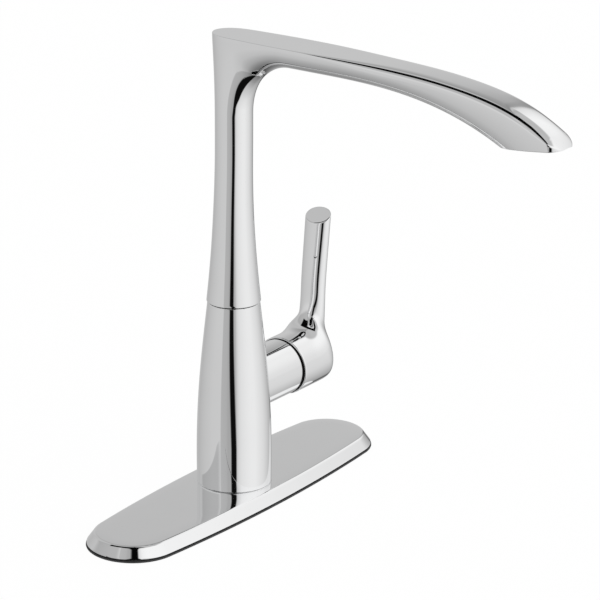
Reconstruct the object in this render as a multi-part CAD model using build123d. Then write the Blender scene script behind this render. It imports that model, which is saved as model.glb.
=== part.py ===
from build123d import *
import math
import os

# Single-lever kitchen faucet on a deck plate, in millimetres.
# The origin is on the body's axis at the top of the sink deck, with the deck plate along X,
# the spout reaching towards -Y and the lever on the +X side.

# Deck plate, its backing and its gasket
plate_length = 258.4
plate_width = 68.9
plate_end_radius = 29.5
plate_height = 6.8
plate_bevel = 4.8
plate_edge_radius = 1.6
plate_wall = 1.8
gasket_thickness = 2.0
gasket_setback = 0.2
backing_clearance = 0.3
backing_rim = 5.0
backing_web = 1.8

# Body shell: radii from the base up, and the heights that go with them
body_height = 118.9
body_base_radius = 23.4
body_belly_radius = 23.5
body_belly_height = 21.2
body_shoulder_radius = 22.8
body_shoulder_height = 47.7
body_waist_radius = 18.4
body_waist_drop = 18.6
body_top_radius = 16.3
body_wall = 2.6
body_top_thickness = 9.0
body_base_round = 0.8
body_top_round = 0.4
thread_depth = 14.0
seal_groove_width = 2.4
seal_groove_depth = 1.4
seal_land = 2.4
seal_clearance = 0.15

# Side boss for the valve
boss_axis_height = 61.2
boss_radius = 18.0
boss_end = 48.0
boss_bore = 15.0

# Inner core with the inlets and the spigot that the spout turns on
core_clearance = 0.2
core_side_gap = 1.1
core_seat = 1.5
spigot_radius = 9.0
spigot_height = 38.5
spigot_bore = 5.5
spigot_wall = 3.0
inlet_radius = 4.5
inlet_depth = 12.0
inlet_offset = 6.2
port_radius = 2.4
port_offset = 4.4
port_spread = 4.6
outlet_port_radius = 3.0

# Shank and the clamp below the deck
shank_wall = 3.0
shank_length = 64.0
shank_clearance = 0.4
clamp_space = 42.0
rubber_washer_radius = 29.0
rubber_washer_thickness = 3.0
steel_washer_radius = 27.0
steel_washer_thickness = 1.6
nut_across_flats = 44.0
nut_height = 10.0
thread_clearance = 0.1

# Swivel between the body and the spout
seam_gap = 0.6
running_gap = 0.05
bush_wall = 1.9
bush_height = 8.0
flange_setback = 0.7
o_ring_section = 1.45
o_ring_first = 18.5
o_ring_pitch = 5.5
o_ring_groove = 1.1
o_ring_room = 0.15
socket_depth = 40.0
retainer_height = 12.0
retainer_radius = 2.0
retainer_tip_radius = 1.5
retainer_groove_depth = 1.2
retainer_groove_room = 0.6
retainer_setback = 0.4

# Spout: neck, bend, arm and tip
spout_height = 169.1
spout_reach = 234.4
spout_wall = 2.2
collar_radius = 16.9
collar_round = 0.4
neck_radius = 11.6
neck_taper_length = 95.0
neck_lean = 0.6
bend_reach = 45.0
bend_drop = 49.3
bend_inner_power = 2.0
bend_corner_power = 12.0
rim_flare = 2.4
arm_half_width = 14.1
arm_depth = 14.6
tip_half_width = 12.4
taper_start = 60.0
taper_end = 147.0
top_flat_end = 60.0
top_sag = 25.7
top_sag_power = 3.71
nose_drop = 5.5
nose_power = 10.6
crease_drop = 13.0
belly_start = 66.1
belly_end = 185.8
belly_drop = 20.2
belly_power = 2.81
tip_corner_radius = 10.5
outlet_drop = 34.2
outlet_back = 22.4
outlet_tilt = 8.2

# Aerator in the outlet
aerator_radius = 8.0
aerator_wall = 1.3
aerator_height = 6.5
aerator_clearance = 0.1
aerator_recess = 0.4
aerator_washer_thickness = 1.4
aerator_washer_width = 2.2
aerator_hole = 0.55
aerator_hole_pitch = 1.9

# Cartridge, measured outwards along the boss from the body's axis
cartridge_radius = 12.5
cartridge_fit = 0.15
seal_thickness = 1.2
base_thickness = 4.8
disc_thickness = 3.0
disc_gap = 0.02
fixed_disc_radius = 10.4
moving_disc_radius = 7.8
housing_wall = 1.9
housing_length = 21.5
housing_top = 2.3
carrier_thickness = 4.0
carrier_radius = 8.2
carrier_half_width = 6.4
carrier_clearance = 0.2
guide_clearance = 0.15
guide_neck_radius = 9.0
guide_neck_length = 4.8
guide_gap = 0.7
leg_thickness = 4.0
leg_half_height = 4.0
pivot_depth = 3.7
stem_size = 5.2
stem_clearance = 0.12
stem_ball_radius = 2.2
stem_ball_neck = 1.6
stem_ball_reach = 6.9
stem_slot_room = 0.4
pin_radius = 1.25
pin_fit = 0.05
nut_ring_bore = 10.6
nut_ring_length = 7.5
nut_notch = 4.0

# Handle: hub, elbow and lever
hub_radius = 19.0
hub_gap = 2.3
hub_rim_slant = 4.0
hub_bore = 15.3
hub_bore_depth = 6.8
hub_rim_chamfer = 1.2
hub_rim_round = 0.7
elbow_reach = 60.5
elbow_rise = 43.5
elbow_inner_power = 2.4
elbow_corner_power = 13.4
elbow_narrow_start = 21.7
elbow_narrow_end = 47.8
lever_waist_depth = 5.85
lever_waist_width = 8.7
lever_tip_depth = 5.25
lever_tip_width = 9.2
lever_reach = 83.45
lever_lean = 6.55
lever_height = 90.7
facet_tilt = 34.0
stem_socket_depth = 12.5
socket_fit = 0.05
grub_radius = 2.5
grub_length = 8.0
grub_reach = 15.0
plug_radius = 3.4
plug_fit = 0.05

# How far the handle tilts, in degrees
tilt_range = 20.0

# Sections drawn for the smooth lofts
oval_points = 16
neck_stations = 8
bend_sections = 10
arm_sections = 13
top_stations = 24
elbow_sections = 8
overrun = 10.0

# Heights and places that follow from the sizes above
plate_top = gasket_thickness + plate_height
seam = plate_top + body_height
spout_foot = seam + seam_gap
spout_top = spout_foot + spout_height
boss_axis = plate_top + boss_axis_height
core_radius = body_waist_radius - body_wall - core_side_gap
core_foot = plate_top + thread_depth
core_shoulder = seam - body_waist_drop
spigot_foot_radius = spigot_radius + spigot_wall
shank_bore = core_radius - core_seat
shank_radius = shank_bore + shank_wall
deck_hole = shank_radius + shank_clearance
outlet_height = spout_top - outlet_drop
outlet_reach = spout_reach - outlet_back
socket_radius = spigot_radius + running_gap + bush_wall + running_gap

seat = core_radius - core_seat * 2
base_start = seat + seal_thickness
fixed_disc_start = base_start + base_thickness
moving_disc_start = fixed_disc_start + disc_thickness + disc_gap
carrier_start = moving_disc_start + disc_thickness
carrier_end = carrier_start + carrier_thickness
guide_start = carrier_end + guide_gap
housing_end = fixed_disc_start + housing_length
guide_shoulder = housing_end - housing_top - guide_clearance
pivot = guide_shoulder - pivot_depth
bonnet_end = housing_end + nut_ring_length
housing_bore = cartridge_radius - housing_wall
guide_radius = housing_bore - guide_clearance
ball_place = pivot - stem_ball_reach
disc_travel = stem_ball_reach * math.sin(math.radians(tilt_range))
rim = boss_end + hub_gap
cavity_end = rim + hub_bore_depth
stem_end = cavity_end + stem_socket_depth

ACROSS_SPOUT = Vector(1, 0, 0)
ACROSS_LEVER = Vector(0, 1, 0)


def tube(outer, inner, bottom, top):
    """A ring about the Z axis between two heights."""
    return Pos(0, 0, bottom) * extrude(Circle(outer) - Circle(inner), top - bottom)


def rod(radius, bottom, top):
    """A round bar about the Z axis between two heights."""
    return Pos(0, 0, bottom) * extrude(Circle(radius), top - bottom)


def block(low, high):
    """A box between two opposite corners."""
    size = [b - a for a, b in zip(low, high)]
    middle = [(a + b) / 2 for a, b in zip(low, high)]
    return Pos(*middle) * Box(*size)


def on_boss(piece):
    """Lays a piece drawn along Z on the boss's axis, so that its Z runs outwards along X."""
    return Pos(0, 0, boss_axis) * Rot(0, 90, 0) * piece


def in_outlet(piece):
    """Puts a piece drawn about Z into the outlet, with Z up into the spout."""
    return Pos(0, -outlet_reach, outlet_height) * Rot(-outlet_tilt, 0, 0) * piece


def smooth_step(value, start, end):
    """Rises smoothly from 0 at start to 1 at end."""
    share = min(1.0, max(0.0, (value - start) / (end - start)))
    return share * share * (3 - 2 * share)


def oval(inner, outer, half_width, across):
    """A smooth closed face between two points, half_width wide to each side of their line."""
    middle = (inner + outer) / 2
    half = (outer - inner) / 2
    turns = [2 * math.pi * k / oval_points for k in range(oval_points)]
    points = [middle + across * (half_width * math.cos(t)) + half * math.sin(t) for t in turns]
    edge = Edge.make_spline(points, periodic=True, parameters=list(range(oval_points + 1)))
    return Face(Wire([edge]))


def smooth_body(sections, joins):
    """One solid through a row of sections, lofted in spans that meet at the joins."""
    ends = [0] + joins + [len(sections) - 1]
    spans = [loft(sections[a:b + 1]) for a, b in zip(ends[:-1], ends[1:])]
    body = spans[0]
    for span in spans[1:]:
        body += span
    return body


def corner_radius_at(angle, flat, upright, power):
    """Distance from the centre of a rounded corner to its edge, at an angle from the flat side."""
    terms = (math.cos(angle) / flat) ** power + (math.sin(angle) / upright) ** power
    return terms ** (-1 / power)


# Deck plate

def plate_outline(inset):
    """The plate's outline: two bowed sides and two round ends, tangent to each other."""
    end = plate_end_radius - inset
    side = plate_width / 2 - inset
    centre = plate_length / 2 - plate_end_radius
    bow = (centre ** 2 + side ** 2 - end ** 2) / (2 * (side - end))
    join_x = centre + end * centre / (bow - end)
    join_y = end * (bow - side) / (bow - end)
    tip = centre + end
    edges = [
        ThreePointArc((-join_x, join_y), (0, side), (join_x, join_y)),
        ThreePointArc((join_x, join_y), (tip, 0), (join_x, -join_y)),
        ThreePointArc((join_x, -join_y), (0, -side), (-join_x, -join_y)),
        ThreePointArc((-join_x, -join_y), (-tip, 0), (-join_x, join_y)),
    ]
    return make_face(edges)


def bevelled_slab(inset, bottom, top):
    """The plate's bevelled form between two heights, drawn in by an inset all round."""
    slope = plate_bevel / plate_height
    low = plate_outline(inset + slope * (bottom - gasket_thickness))
    high = plate_outline(inset + slope * (top - gasket_thickness))
    return loft([Pos(0, 0, bottom) * low, Pos(0, 0, top) * high], ruled=True)


def deck_gasket():
    sheet = extrude(plate_outline(gasket_setback), gasket_thickness)
    return sheet - rod(deck_hole, 0, gasket_thickness)


def deck_plate():
    plate = bevelled_slab(0, gasket_thickness, plate_top)
    plate = fillet(plate.edges().group_by(Axis.Z)[-1], plate_edge_radius)
    plate -= bevelled_slab(plate_wall, gasket_thickness, plate_top - plate_wall)
    return plate - rod(deck_hole, gasket_thickness, plate_top)


def plate_backing():
    top = plate_top - plate_wall
    backing = bevelled_slab(plate_wall + backing_clearance, gasket_thickness, top)
    pocket_end = plate_length / 2 - plate_end_radius
    pocket_start = deck_hole + backing_rim
    pocket_side = plate_end_radius - plate_wall - backing_clearance - plate_bevel - backing_rim
    low = (pocket_start, -pocket_side, gasket_thickness)
    high = (pocket_end, pocket_side, top - backing_web)
    pocket = block(low, high)
    backing -= pocket + mirror(pocket, Plane.YZ)
    return backing - rod(deck_hole, gasket_thickness, top)


# Body

def body_profile(inset, bottom, top):
    """Half of the body's outline, drawn in by an inset, between two heights."""
    stations = [
        (body_base_radius, plate_top),
        (body_belly_radius, plate_top + body_belly_height),
        (body_shoulder_radius, plate_top + body_shoulder_height),
        (body_waist_radius, seam - body_waist_drop),
        (body_top_radius, seam),
    ]
    curve = Spline([(radius - inset, height) for radius, height in stations])
    first = curve @ 0
    last = curve @ 1
    axis_line = Polyline(last, (0, last.Y), (0, first.Y), first)
    slab = Rectangle(4 * body_base_radius, top - bottom)
    return make_face([curve, axis_line]) & Pos(0, (bottom + top) / 2) * slab


def turned(profile):
    """A solid of revolution about Z from a half outline drawn as radius and height."""
    return revolve(Plane.XZ * profile, Axis.Z)


def body_shell():
    shell = turned(body_profile(0, plate_top, seam))
    shell = fillet(shell.edges().group_by(Axis.Z)[0], body_base_round)
    shell = fillet(shell.edges().group_by(Axis.Z)[-1], body_top_round)
    shell += on_boss(rod(boss_radius, 0, boss_end))
    cavity = turned(body_profile(body_wall, core_foot, seam - body_top_thickness))
    shell -= cavity
    shell -= on_boss(rod(boss_bore, 0, boss_end))
    shell -= rod(spigot_foot_radius + core_clearance, core_foot, seam)
    shell -= rod(shank_radius + thread_clearance, plate_top, core_foot)
    groove_outer = body_base_radius - seal_land
    groove = tube(groove_outer, groove_outer - seal_groove_width, plate_top, plate_top + seal_groove_depth)
    return shell - groove


def base_seal():
    outer = body_base_radius - seal_land - seal_clearance
    inner = outer - seal_groove_width + 2 * seal_clearance
    return tube(outer, inner, plate_top, plate_top + seal_groove_depth)


def waterway_core():
    core = rod(core_radius, core_foot, core_shoulder)
    core += rod(spigot_foot_radius, core_shoulder, seam)
    core += rod(spigot_radius, seam, spout_foot + spigot_height)
    core -= on_boss(rod(cartridge_radius + cartridge_fit, seat, core_radius + overrun))
    hole_end = core_foot + inlet_depth
    for side in (-1, 1):
        core -= Pos(0, side * inlet_offset, 0) * rod(inlet_radius, core_foot, hole_end)
        riser = rod(port_radius, hole_end, boss_axis - port_spread / 2)
        core -= Pos(0, side * port_offset, 0) * riser
        feed = Pos(port_spread / 2, side * port_offset, 0) * rod(port_radius, -port_radius, seat)
        core -= on_boss(feed)
    core -= on_boss(Pos(-port_spread, 0, 0) * rod(outlet_port_radius, 0, seat))
    core -= rod(spigot_bore, boss_axis + port_spread, spout_foot + spigot_height)
    for number in range(2):
        middle = spout_foot + o_ring_first + number * o_ring_pitch
        half = o_ring_section + o_ring_room
        floor = spigot_radius - o_ring_groove
        core -= tube(spigot_radius + overrun, floor, middle - half, middle + half)
    half = retainer_tip_radius + retainer_groove_room
    middle = spout_foot + retainer_height
    floor = spigot_radius - retainer_groove_depth
    return core - tube(spigot_radius + overrun, floor, middle - half, middle + half)


def mounting_shank():
    return tube(shank_radius, shank_bore, -shank_length, core_foot)


def rubber_washer():
    return tube(rubber_washer_radius, deck_hole, -clamp_space - rubber_washer_thickness, -clamp_space)


def steel_washer():
    top = -clamp_space - rubber_washer_thickness
    return tube(steel_washer_radius, deck_hole, top - steel_washer_thickness, top)


def mounting_nut():
    top = -clamp_space - rubber_washer_thickness - steel_washer_thickness
    hexagon = RegularPolygon(nut_across_flats / 2, 6, major_radius=False)
    nut = Pos(0, 0, top - nut_height) * extrude(hexagon, nut_height)
    return nut - rod(shank_radius + thread_clearance, top - nut_height, top)


# Spout swivel

def spout_o_rings():
    major = spigot_radius - o_ring_groove + o_ring_section + running_gap
    rings = []
    for number in range(2):
        height = spout_foot + o_ring_first + number * o_ring_pitch
        rings.append(Pos(0, 0, height) * Torus(major, o_ring_section))
    return Compound(rings)


def swivel_bush_lower():
    inner = spigot_radius + running_gap
    sleeve = tube(inner + bush_wall, inner, seam + running_gap, spout_foot + bush_height)
    flange = tube(body_top_radius - flange_setback, inner, seam + running_gap, spout_foot)
    return sleeve + flange


def swivel_bush_upper():
    inner = spigot_radius + running_gap
    top = spout_foot + spigot_height - running_gap
    return tube(inner + bush_wall, inner, top - bush_height, top)


def spout_set_screw():
    height = spout_foot + retainer_height
    tip = spigot_radius - retainer_groove_depth + retainer_groove_room
    end = neck_radius_at(retainer_height) - retainer_setback
    shoulder = socket_radius + retainer_setback
    screw = rod(retainer_radius, shoulder, end) + rod(retainer_tip_radius, tip, shoulder)
    return Pos(0, 0, height) * Rot(-90, 0, 0) * screw


# Spout

def neck_radius_at(height):
    """Radius of the neck at a height above the seam: a parabola that settles to the slim neck."""
    taper = max(0.0, 1 - height / neck_taper_length)
    return neck_radius + (collar_radius - neck_radius) * taper ** 2


def spout_section(inner, outer, half_width):
    """One section across the spout, between two points given as reach and height."""
    return oval(Vector(0, -inner[0], inner[1]), Vector(0, -outer[0], outer[1]), half_width, ACROSS_SPOUT)


def spout_sections(inset, foot):
    """Sections up the neck, round the bend and along the arm, drawn in by an inset."""
    sections = []
    rise = spout_height - bend_drop - foot
    for k in range(neck_stations):
        height = foot + rise * k / (neck_stations - 1)
        radius = neck_radius_at(height) - inset
        level = spout_foot + height
        ahead = neck_lean * smooth_step(height, socket_depth, spout_height - bend_drop)
        sections.append(spout_section((ahead + radius, level), (ahead - radius, level), radius))
    pivot_height = spout_top - bend_drop
    neck = neck_radius - inset
    front = bend_reach - neck_lean - neck
    back = bend_reach - neck_lean + neck
    for k in range(1, bend_sections):
        angle = math.pi / 2 * k / bend_sections
        lean = math.cos(angle)
        rise = math.sin(angle)
        flare = rim_flare * min(1.0, back * math.tan(angle) / bend_drop) ** 2
        near = corner_radius_at(angle, front, bend_drop - arm_depth + inset, bend_inner_power)
        far = corner_radius_at(angle, back + flare, bend_drop + arm_depth - inset, bend_corner_power)
        inner = (bend_reach - near * lean, pivot_height + near * rise)
        outer = (bend_reach - far * lean, pivot_height + far * rise)
        half_width = neck + (arm_half_width - inset - neck) * rise ** 2
        sections.append(spout_section(inner, outer, half_width))
    for k in range(arm_sections):
        reach = bend_reach + (spout_reach + overrun - bend_reach) * k / (arm_sections - 1)
        curve = max(0.0, (reach - top_flat_end) / (spout_reach - top_flat_end))
        sag = max(0.0, (reach - belly_start) / (belly_end - belly_start))
        middle = spout_top - crease_drop * curve ** 2
        depth = middle - (spout_top - arm_depth - belly_drop * sag ** belly_power) - inset
        narrow = smooth_step(reach, taper_start, taper_end)
        half_width = arm_half_width + (tip_half_width - arm_half_width) * narrow - inset
        sections.append(spout_section((reach, middle - depth), (reach, middle + depth), half_width))
    return sections


def spout_form(inset, foot):
    """Neck, bend and arm as one solid, before the top face and the outlet are cut."""
    bend = neck_stations - 1
    return smooth_body(spout_sections(inset, foot), [bend, bend + bend_sections // 2])


def above_spout(lowered, reach):
    """The space above the spout's top face and in front of its tip, drawn in by a wall."""
    level = spout_top - lowered
    points = []
    for k in range(top_stations):
        share = k / (top_stations - 1)
        drop = top_sag * share ** top_sag_power + nose_drop * share ** nose_power
        points.append((-top_flat_end - (reach - top_flat_end) * share, level - drop))
    curve = Spline(points)
    floor = outlet_height - spout_height
    ceiling = spout_top + spout_height
    front = -spout_reach - spout_height
    back = spout_height
    corners = [(-reach, floor), (front, floor), (front, ceiling), (back, ceiling), (back, level)]
    outline = Polyline(curve @ 1, *corners, curve @ 0)
    face = make_face([curve, outline])
    return extrude(Plane.YZ * face, 2 * arm_half_width, both=True)


def tip_corners():
    """The two upright corners that the rounded tip leaves out."""
    side = tip_half_width
    corner = Pos(side, -spout_reach) * Rectangle(2 * tip_corner_radius, 2 * tip_corner_radius)
    corner -= Pos(side - tip_corner_radius, -spout_reach + tip_corner_radius) * Circle(tip_corner_radius)
    corners = corner + mirror(corner, Plane.YZ)
    return Pos(0, 0, outlet_height - spout_height) * extrude(corners, 2 * spout_height)


def below_outlet(lift):
    """The space below the outlet face, lifted by a height into the spout."""
    size = spout_height
    slab = Pos(0, 0, lift - size / 2) * Box(size, 2 * (outlet_back + outlet_drop), size)
    return in_outlet(slab)


def spout():
    shell = spout_form(0, 0)
    shell -= above_spout(0, spout_reach)
    shell -= below_outlet(0)
    shell -= tip_corners()
    shell = fillet(shell.edges().group_by(Axis.Z)[0], collar_round)
    aerator_top = aerator_recess + aerator_height + aerator_washer_thickness
    cavity = spout_form(spout_wall, socket_depth - spout_wall)
    cavity -= above_spout(spout_wall, spout_reach - spout_wall * 2)
    cavity -= below_outlet(aerator_top)
    shell -= cavity
    shell -= rod(socket_radius, spout_foot, spout_foot + socket_depth)
    shell -= in_outlet(rod(aerator_radius + aerator_clearance, 0, aerator_top))
    shell -= in_outlet(rod(aerator_radius - aerator_washer_width, 0, aerator_top + spout_wall))
    hole = rod(retainer_radius, 0, 2 * collar_radius)
    hole = Pos(0, 0, spout_foot + retainer_height) * Rot(-90, 0, 0) * hole
    return shell - hole


def aerator_housing():
    inner = aerator_radius - aerator_wall
    return in_outlet(tube(aerator_radius, inner, aerator_recess, aerator_recess + aerator_height))


def aerator_insert():
    radius = aerator_radius - aerator_wall - aerator_clearance / 2
    top = aerator_recess + aerator_height
    insert = rod(radius, aerator_recess + aerator_wall, top)
    rings = int((radius - aerator_hole - aerator_clearance) / aerator_hole_pitch)
    holes = [rod(aerator_hole, aerator_recess, top)]
    for ring in range(1, rings + 1):
        spots = PolarLocations(ring * aerator_hole_pitch, 6 * ring)
        holes += [spot * rod(aerator_hole, aerator_recess, top) for spot in spots]
    return in_outlet(insert - holes)


def aerator_washer():
    bottom = aerator_recess + aerator_height
    inner = aerator_radius - aerator_washer_width
    return in_outlet(tube(aerator_radius, inner, bottom, bottom + aerator_washer_thickness))


# Cartridge

def ported(disc, bottom, top):
    """Cuts the two inlets and the outlet through a disc of the cartridge."""
    for side in (-1, 1):
        disc -= Pos(port_spread / 2, side * port_offset, 0) * rod(port_radius, bottom, top)
    return disc - Pos(-port_spread, 0, 0) * rod(outlet_port_radius, bottom, top)


def cartridge_seal():
    disc = rod(cartridge_radius, seat, base_start)
    disc &= block((-boss_bore, -boss_bore / 2, seat), (boss_bore, boss_bore / 2, base_start))
    return on_boss(ported(disc, seat, base_start))


def cartridge_base():
    disc = rod(cartridge_radius, base_start, fixed_disc_start)
    return on_boss(ported(disc, base_start, fixed_disc_start))


def fixed_disc():
    top = fixed_disc_start + disc_thickness
    return on_boss(ported(rod(fixed_disc_radius, fixed_disc_start, top), fixed_disc_start, top))


def cartridge_housing():
    housing = tube(cartridge_radius, housing_bore, fixed_disc_start, housing_end)
    return on_boss(housing + tube(cartridge_radius, guide_neck_radius + guide_clearance,
                                  housing_end - housing_top, housing_end))


def moving_disc():
    disc = Pos(disc_travel / 2, 0, 0) * rod(moving_disc_radius, moving_disc_start, carrier_start)
    chamber = block(
        (-port_spread, -port_radius, moving_disc_start),
        (port_spread, port_radius, moving_disc_start + disc_thickness / 2),
    )
    return on_boss(disc - chamber)


def disc_carrier():
    carrier = rod(carrier_radius, carrier_start, carrier_end)
    side = carrier_radius
    carrier &= block((-side, -carrier_half_width, carrier_start), (side, carrier_half_width, carrier_end))
    socket = rod(stem_ball_radius + stem_clearance, carrier_start, carrier_end)
    return on_boss(carrier - socket)


def stem_guide():
    guide = rod(guide_radius, guide_start, guide_shoulder)
    guide += rod(guide_neck_radius, guide_shoulder, guide_shoulder + guide_neck_length)
    leg_foot = guide_start - leg_thickness
    legs = rod(guide_radius, leg_foot, guide_start)
    inner = carrier_half_width + carrier_clearance
    legs -= block((-guide_radius, -inner, leg_foot), (guide_radius, inner, guide_start))
    keep = leg_half_height
    legs &= block((-keep, -guide_radius, leg_foot), (keep, guide_radius, guide_start))
    guide += legs
    half = stem_size / 2
    lean = math.sin(math.radians(tilt_range))
    drop = half / math.cos(math.radians(tilt_range)) + stem_slot_room
    low = (guide_shoulder + guide_neck_length - pivot) * lean + drop
    high = (pivot - guide_start) * lean + drop
    side = half + stem_clearance
    slot = block((-high, -side, guide_start - leg_thickness), (low, side, housing_end + guide_neck_length))
    guide -= slot
    guide -= Pos(0, 0, pivot) * Rot(90, 0, 0) * Cylinder(pin_radius + pin_fit, 2 * guide_radius)
    return on_boss(guide)


def stem_pin():
    length = 2 * housing_bore - 2 * housing_wall
    return on_boss(Pos(0, 0, pivot) * Rot(90, 0, 0) * Cylinder(pin_radius, length))


def stem():
    half = stem_size / 2
    bar = block((-half, -half, pivot - half), (half, half, stem_end))
    bar += rod(stem_ball_neck, ball_place, pivot)
    bar += Pos(0, 0, ball_place) * Sphere(stem_ball_radius)
    bar -= Pos(0, 0, pivot) * Rot(90, 0, 0) * Cylinder(pin_radius + 2 * pin_fit, 2 * stem_size)
    return on_boss(bar)


def bonnet_nut():
    nut = tube(boss_bore - thread_clearance, nut_ring_bore, housing_end, bonnet_end)
    for turn in (0, 90):
        notch = Rot(0, 0, turn) * Box(2 * boss_bore, nut_notch, nut_notch)
        nut -= Pos(0, 0, bonnet_end) * notch
    return on_boss(nut)


# Handle

def lever_section(inner, outer, half_width):
    """One section across the handle, between two points given as reach along X and height."""
    return oval(Vector(inner[0], 0, inner[1]), Vector(outer[0], 0, outer[1]), half_width, ACROSS_LEVER)


def handle_blank():
    """The hub, the elbow and the lever as one smooth form, longer than needed at both ends."""
    sections = []
    top = boss_axis + hub_radius
    for reach in (boss_end, elbow_reach):
        sections.append(lever_section((reach, top), (reach, boss_axis - hub_radius), hub_radius))
    turn_height = boss_axis + elbow_rise
    inner_end = lever_reach - lever_waist_depth - elbow_reach
    outer_end = lever_reach + lever_waist_depth - elbow_reach
    for k in range(1, elbow_sections):
        angle = math.pi / 2 * k / elbow_sections
        near = corner_radius_at(angle, elbow_rise - hub_radius, inner_end, elbow_inner_power)
        far = corner_radius_at(angle, elbow_rise + hub_radius, outer_end, elbow_corner_power)
        drop = math.cos(angle)
        along = math.sin(angle)
        inner = (elbow_reach + near * along, turn_height - near * drop)
        outer = (elbow_reach + far * along, turn_height - far * drop)
        narrow = smooth_step(math.degrees(angle), elbow_narrow_start, elbow_narrow_end)
        half_width = hub_radius + (lever_waist_width - hub_radius) * narrow
        sections.append(lever_section(inner, outer, half_width))
    lever_top = boss_axis + lever_height + overrun
    lean = (lever_top - turn_height) * math.tan(math.radians(lever_lean))
    for height, middle, depth, width in (
        (turn_height, lever_reach, lever_waist_depth, lever_waist_width),
        (lever_top, lever_reach + lean, lever_tip_depth, lever_tip_width),
    ):
        sections.append(lever_section((middle - depth, height), (middle + depth, height), width))
    return smooth_body(sections, [1 + elbow_sections // 2, 1 + elbow_sections])


def facet_plane():
    """The face that ends the lever, slanted towards the body."""
    tilt = math.radians(facet_tilt)
    normal = (-math.sin(tilt), 0, math.cos(tilt))
    rise = lever_height - elbow_rise
    middle = lever_reach + rise * math.tan(math.radians(lever_lean))
    return Plane(origin=(middle, 0, boss_axis + lever_height), z_dir=normal)


def rim_plane():
    """The plane of the hub's rim, slanted so that its gap is widest at the bottom."""
    slant = math.radians(hub_rim_slant)
    return Plane(origin=(rim, 0, boss_axis), z_dir=(math.cos(slant), 0, math.sin(slant)))


def handle():
    lever = split(handle_blank(), bisect_by=facet_plane(), keep=Keep.BOTTOM)
    lever = split(lever, bisect_by=rim_plane(), keep=Keep.TOP)
    lever = fillet(lever.faces().sort_by(Axis.X)[0].edges(), hub_rim_round)
    lever -= on_boss(rod(hub_bore, 0, cavity_end))
    mouth = Cone(hub_bore + hub_rim_chamfer, hub_bore - hub_rim_chamfer, 2 * hub_rim_chamfer)
    lever -= rim_plane() * Pos(0, 0, hub_rim_chamfer) * mouth
    half = stem_size / 2 + socket_fit
    lever -= on_boss(block((-half, -half, cavity_end), (half, half, stem_end + socket_fit)))
    drill = Pos(cavity_end + grub_reach - grub_length, 0, boss_axis)
    lever -= drill * rod(grub_radius, -hub_radius, 0)
    return lever - drill * rod(plug_radius + plug_fit, -2 * hub_radius, grub_foot())


def grub_foot():
    """Height of the set screw's lower end below the boss's axis."""
    return -stem_size / 2 - grub_length


def handle_set_screw():
    place = Pos(cavity_end + grub_reach - grub_length, 0, boss_axis)
    return place * rod(grub_radius, grub_foot(), -stem_size / 2)


def handle_plug():
    place = Pos(cavity_end + grub_reach - grub_length, 0, boss_axis)
    plug = place * rod(plug_radius, -hub_radius, grub_foot())
    return plug & on_boss(rod(hub_radius, 0, stem_end + overrun))


PIECES = [
    deck_gasket, plate_backing, deck_plate, base_seal, body_shell, waterway_core,
    mounting_shank, rubber_washer, steel_washer, mounting_nut,
    spout_o_rings, swivel_bush_lower, swivel_bush_upper, spout_set_screw,
    spout, aerator_washer, aerator_housing, aerator_insert,
    cartridge_seal, cartridge_base, fixed_disc, cartridge_housing, moving_disc, disc_carrier,
    stem_guide, stem_pin, stem, bonnet_nut, handle, handle_set_screw, handle_plug,
]

os.makedirs("parts", exist_ok=True)
for piece in PIECES:
    export_step(piece(), "parts/" + piece.__name__ + ".step")
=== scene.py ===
import bmesh
import bpy
import numpy as np
from mathutils import Matrix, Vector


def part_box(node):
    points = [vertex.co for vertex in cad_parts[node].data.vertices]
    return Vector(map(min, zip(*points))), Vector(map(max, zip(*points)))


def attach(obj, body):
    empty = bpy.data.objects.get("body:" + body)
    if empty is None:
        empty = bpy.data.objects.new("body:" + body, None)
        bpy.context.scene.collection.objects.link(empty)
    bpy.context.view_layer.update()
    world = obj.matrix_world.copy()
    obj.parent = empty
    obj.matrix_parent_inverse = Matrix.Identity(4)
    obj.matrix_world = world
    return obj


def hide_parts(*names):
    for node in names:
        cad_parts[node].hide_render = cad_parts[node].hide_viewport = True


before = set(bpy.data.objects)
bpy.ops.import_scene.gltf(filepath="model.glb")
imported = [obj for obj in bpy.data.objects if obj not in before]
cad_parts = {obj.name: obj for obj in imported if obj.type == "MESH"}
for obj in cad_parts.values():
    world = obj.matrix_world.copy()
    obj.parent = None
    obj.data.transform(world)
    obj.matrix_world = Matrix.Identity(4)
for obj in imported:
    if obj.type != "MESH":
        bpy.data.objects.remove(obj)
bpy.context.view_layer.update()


# Deck gasket: a soft black rubber strip under the whole plate, moulded in one piece with a groove
# and a round bead along its edge. The nut under the sink squeezes it between the plate and the deck.
plate_length = 257.3
plate_width = 67.9
plate_end_radius = 29.0
plate_end_points, plate_side_points = 130, 90
deck_hole = 16.6
hole_rings = 7
gasket_top = 2.0
gasket_proud = 0.5
gasket_foot_inset = 2.0
groove_inset = 1.3
groove_shoulder, shoulder_drop = 0.8, 0.1
bead_radius = 0.55
bead_sweep = 85.0
gasket_light = (0.095, 0.095, 0.097, 1)
gasket_dark = (0.060, 0.060, 0.062, 1)
mm_per_metre = 1000.0
weld_distance = 3e-6
grain_detail, grain_spread = 3, (0.3, 0.7)
patch_scale, patch_detail = 45, 4
dent_depth = 0.0002


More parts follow.
